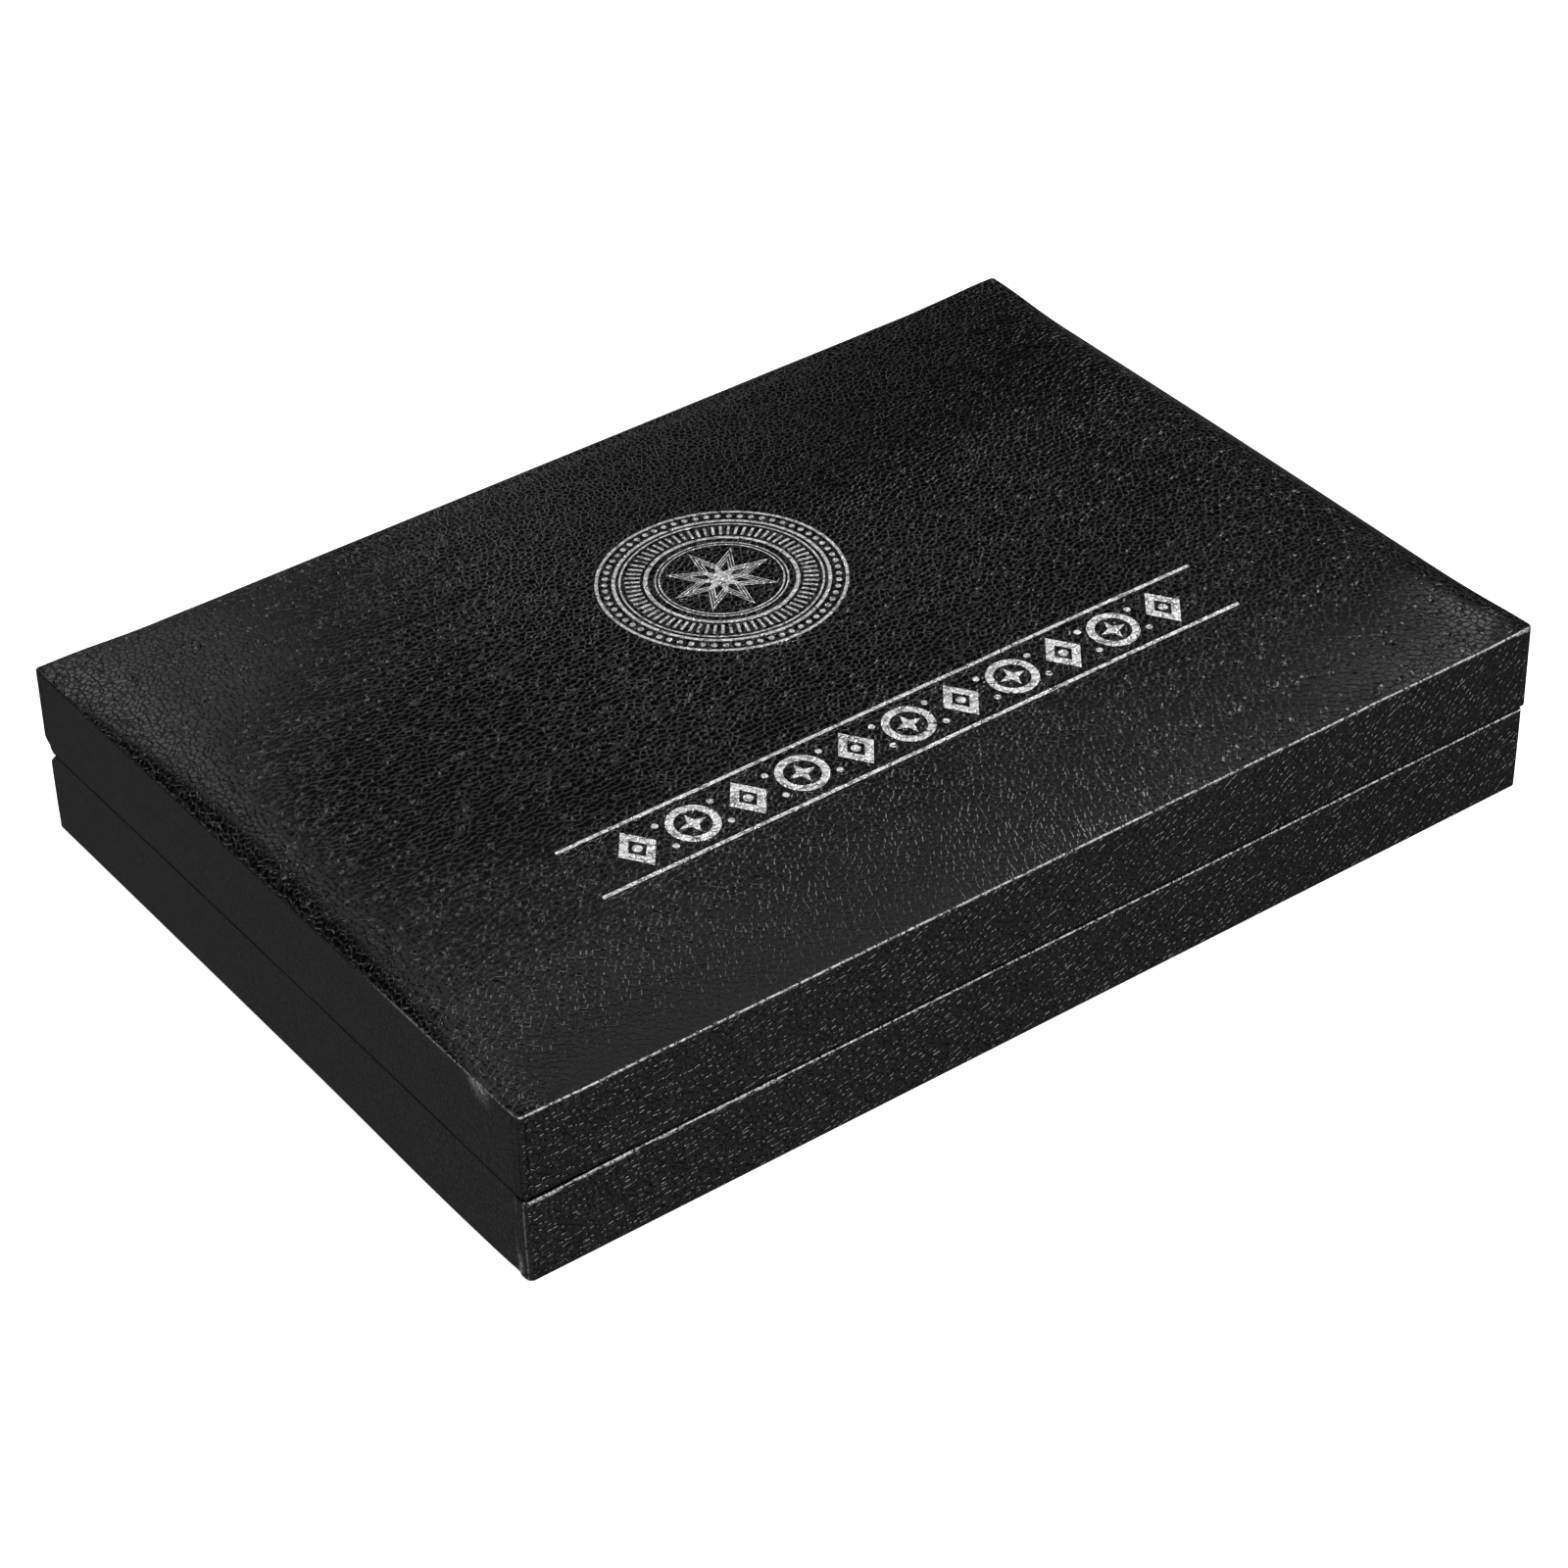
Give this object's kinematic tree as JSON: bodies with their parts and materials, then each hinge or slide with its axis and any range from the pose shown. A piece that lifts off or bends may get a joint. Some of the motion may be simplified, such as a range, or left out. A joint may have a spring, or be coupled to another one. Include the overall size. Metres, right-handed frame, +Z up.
{
  "type": "coin presentation case",
  "caption": "Hinged flat presentation case for coins: leatherette-covered boards, padded lid with foil ornament, velvet-lined inside split into square compartments by lift-out dividers.",
  "frame": {"origin": "middle of the underside, on the surface that the case stands on", "axes": "+X to the right along the long front edge, +Y from the front towards the hinges, +Z up; the lid is closed"},
  "size_m": [0.24, 0.17, 0.0445],
  "materials": {
    "leatherette": "satin",
    "fibreboard": "matte",
    "velvet": "matte",
    "satin_lining": "satin",
    "backing_paper": "matte",
    "foam": "matte",
    "silver_foil": "polished",
    "nickel_steel": "polished",
    "spring_steel": "satin"
  },
  "bodies": {
    "base": {"base_bottom_pad": "backing_paper", "base_floor_board": "fibreboard", "base_wrap": "leatherette", "base_floor_cushion": "velvet", "base_hinge_screws": "nickel_steel", "base_front_board": "fibreboard", "base_back_board": "fibreboard", "base_left_board": "fibreboard", "base_right_board": "fibreboard", "collar_front": "velvet", "collar_back": "velvet", "collar_left": "velvet", "collar_right": "velvet", "long_divider_1": "velvet", "long_divider_2": "velvet", "long_divider_3": "velvet", "short_divider_1": "velvet", "short_divider_2": "velvet", "short_divider_3": "velvet", "short_divider_4": "velvet", "short_divider_5": "velvet", "base_hinge_leaf_left": "nickel_steel", "base_hinge_leaf_right": "nickel_steel", "hinge_pin_left": "nickel_steel", "hinge_pin_right": "nickel_steel", "hinge_spring_left": "spring_steel", "hinge_spring_right": "spring_steel"},
    "lid": {"lid_foam_pad": "foam", "lid_wrap": "leatherette", "lid_wall_lining": "satin_lining", "lid_cushion": "satin_lining", "lid_hinge_screws": "nickel_steel", "lid_foil_medallion": "silver_foil", "lid_foil_band": "silver_foil", "lid_top_board": "fibreboard", "lid_front_board": "fibreboard", "lid_back_board": "fibreboard", "lid_left_board": "fibreboard", "lid_right_board": "fibreboard", "lid_hinge_leaf_left": "nickel_steel", "lid_hinge_leaf_right": "nickel_steel"}
  },
  "joints": [
    {"name": "lid_hinge", "type": "hinge", "parent": "base", "child": "lid", "pos_m": [0, 0.0818, 0.0197], "axis": [-1, 0, 0], "range_deg": [0, 94]}
  ]
}
